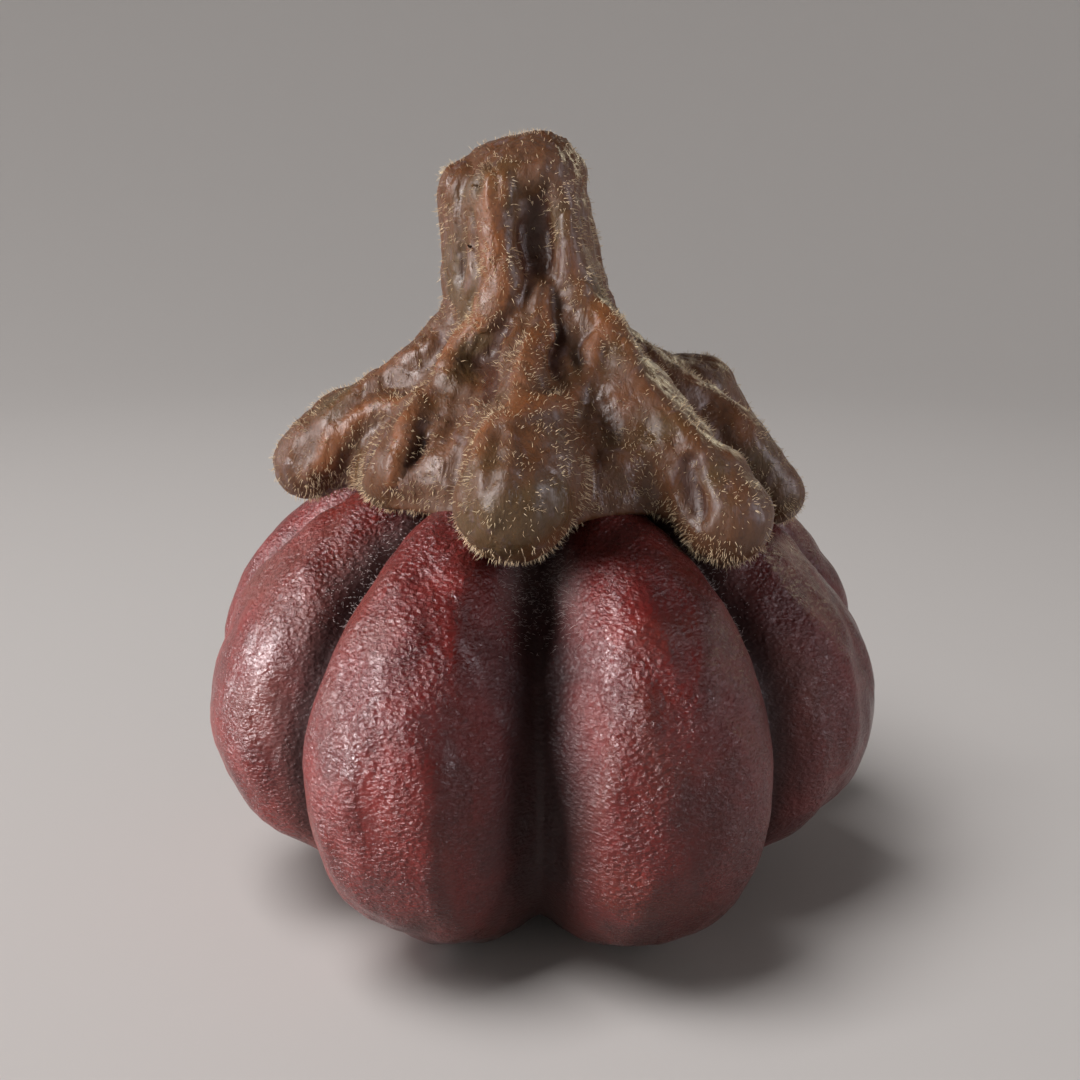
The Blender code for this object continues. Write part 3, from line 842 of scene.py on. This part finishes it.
def make_stage():
    """A pale floor that curves up into a wall all round."""
    flat, curve, wall = 0.7, 0.9, 1.8
    turns = np.linspace(0, np.pi / 2, 16)
    bend = [(flat + curve * np.sin(turn), curve - curve * np.cos(turn)) for turn in turns]
    outline = [(0, 0), (0.4, 0), *bend, (flat + curve, wall)]
    shape = bmesh.new()
    corner_row = [shape.verts.new((radius, 0, height + FLOOR)) for radius, height in outline]
    edges = [shape.edges.new(pair) for pair in zip(corner_row[:-1], corner_row[1:])]
    bmesh.ops.spin(
        shape,
        geom=[*corner_row, *edges],
        cent=(0, 0, 0),
        axis=(0, 0, 1),
        angle=2 * np.pi,
        steps=96,
        use_merge=True,
    )
    bmesh.ops.remove_doubles(shape, verts=shape.verts, dist=0.0001)
    mesh = bpy.data.meshes.new("studio_floor")
    shape.to_mesh(mesh)
    shape.free()
    mesh.shade_smooth()
    floor = bpy.data.objects.new("studio_floor", mesh)
    bpy.context.scene.collection.objects.link(floor)
    n = Nodes("studio_paper")
    n.set(Base_Color=(0.64, 0.625, 0.61, 1), Roughness=0.9)
    mesh.materials.append(n.material)


def add_light(name, place, aim, width, height, power, color):
    light = bpy.data.lights.new(name, "AREA")
    light.shape = "RECTANGLE"
    light.size = width
    light.size_y = height
    light.energy = power
    light.color = color
    holder = bpy.data.objects.new(name, light)
    bpy.context.scene.collection.objects.link(holder)
    holder.location = place
    holder.rotation_euler = (Vector(aim) - Vector(place)).to_track_quat("-Z", "Y").to_euler()
    return holder


def lights_only(holder, names):
    """Makes a light fall on these objects alone."""
    lit = bpy.data.collections.new(holder.name + "_falls_on")
    for name in names:
        lit.objects.link(bpy.data.objects[name])
    holder.light_linking.receiver_collection = lit


def light_and_camera():
    scene = bpy.context.scene
    middle = Vector((0, 0, FLOOR + AIM_HEIGHT * MM))
    rind = ("fruit_skin", "groove_down")
    flesh = ("stem_flesh", "stem_hairs")
    rind_key = add_light("rind_key", (-0.90, -0.27, 0.34), middle, 0.30, 0.56, 33.5, (1.0, 0.93, 0.95))
    lights_only(rind_key, rind)
    soft_key = add_light("soft_key", (-0.78, -0.46, 0.46), middle, 0.40, 0.56, 16.0, (1.0, 0.94, 0.94))
    lights_only(soft_key, flesh)
    overhead = add_light("overhead", (-0.50, -0.30, 1.25), middle, 0.80, 0.80, 15.0, (1.0, 0.96, 0.95))
    lights_only(overhead, ("studio_floor",))
    side = add_light("side", (-0.92, 0.30, 0.34), middle, 0.24, 0.50, 1.4, (1.0, 0.88, 0.92))
    fill = add_light("fill", (0.95, -0.30, 0.34), middle, 0.20, 0.50, 4.6, (0.95, 0.89, 0.97))
    rim = add_light("rim", (0.44, 0.66, 0.42), middle, 0.20, 0.20, 0.8, (1.0, 0.88, 0.60))
    for accent in (side, fill, rim):
        lights_only(accent, (*rind, *flesh))
    world = bpy.data.worlds.new("studio")
    world.use_nodes = True
    world.node_tree.nodes["Background"].inputs["Color"].default_value = (0.90, 0.90, 0.92, 1)
    world.node_tree.nodes["Background"].inputs["Strength"].default_value = 0.07
    scene.world = world
    scene.view_settings.view_transform = "Standard"
    elevation = np.radians(CAMERA_ELEVATION)
    distance = CAMERA_DISTANCE * MM
    back = Vector((0, -np.cos(elevation), np.sin(elevation)))
    lens = bpy.data.cameras.new("camera")
    lens.sensor_width = 36.0
    lens.lens = LENS
    lens.clip_start = 0.01
    camera = bpy.data.objects.new("camera", lens)
    scene.collection.objects.link(camera)
    camera.location = middle + back * distance
    camera.rotation_euler = (-back).to_track_quat("-Z", "Y").to_euler()
    scene.camera = camera


build_pumpkin()
make_stage()
light_and_camera()


def plain(box):
    return [[float(value) for value in corner] for corner in box]
